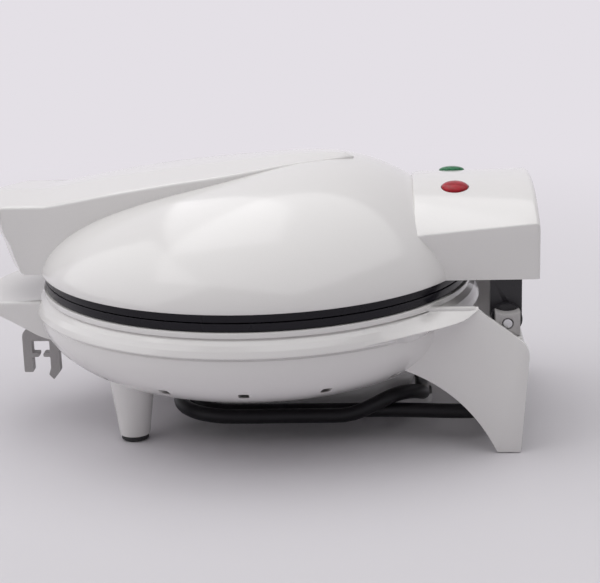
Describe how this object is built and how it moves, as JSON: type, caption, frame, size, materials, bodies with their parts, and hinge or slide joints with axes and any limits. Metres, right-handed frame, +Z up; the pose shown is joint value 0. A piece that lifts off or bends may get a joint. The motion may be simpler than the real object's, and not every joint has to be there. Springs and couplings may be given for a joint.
{
  "type": "mini cake maker",
  "caption": "Electric mini cake maker: round white hinged lid with blade handle over a bowl base, small round cake moulds, hanging latch and lead winder.",
  "frame": {"origin": "middle of the box round the object, on the floor under the centre of the baking plates", "axes": "+Z up, -Y towards the handles and the latch, +Y towards the hinge, +X the side of the red lens"},
  "size_m": [0.1926, 0.237, 0.1156],
  "materials": {
    "white_shell": "gloss",
    "black_rim": "satin",
    "grey_plastic": "matte",
    "black_rubber": "matte",
    "baking_plate": "non-stick coating",
    "steel": "satin",
    "reflector": "bright",
    "ceramic": "matte",
    "brass": "plated",
    "red_lens": "clear tinted",
    "green_lens": "clear tinted",
    "lamp": "gloss"
  },
  "bodies": {
    "base": {"base_shell": "white_shell", "lower_rim": "black_rim", "lower_plate": "baking_plate", "lower_heater": "steel", "lower_reflector": "reflector", "thermostat": "ceramic", "thermal_fuse": "reflector", "terminal_block": "ceramic", "foot_pad_left": "black_rubber", "foot_pad_right": "black_rubber", "hinge_bearing_left": "grey_plastic", "hinge_bearing_right": "grey_plastic", "hinge_pin_left": "steel", "hinge_pin_right": "steel", "winder_box": "white_shell", "strain_relief": "black_rubber", "power_cord": "black_rubber", "plug_body": "black_rubber", "plug_blade_inner": "brass", "plug_blade_outer": "brass", "latch_pin": "steel"},
    "lid": {"lid_shell": "white_shell", "upper_rim": "black_rim", "upper_plate": "baking_plate", "upper_heater": "steel", "upper_reflector": "reflector", "hinge_yoke": "black_rim", "yoke_screw_left": "steel", "yoke_screw_right": "steel", "red_lens": "red_lens", "green_lens": "green_lens", "red_lamp": "lamp", "green_lamp": "lamp"},
    "clip": {"latch_clip": "grey_plastic"}
  },
  "joints": [
    {"name": "lid_hinge", "type": "hinge", "parent": "base", "child": "lid", "pos_m": [0, 0.105, 0.054], "axis": [-1, 0, 0], "range_deg": [0, 100]},
    {"name": "latch_hinge", "type": "hinge", "parent": "base", "child": "clip", "pos_m": [0, -0.098, 0.0444], "axis": [-1, 0, 0], "range_deg": [-4, 75]}
  ]
}
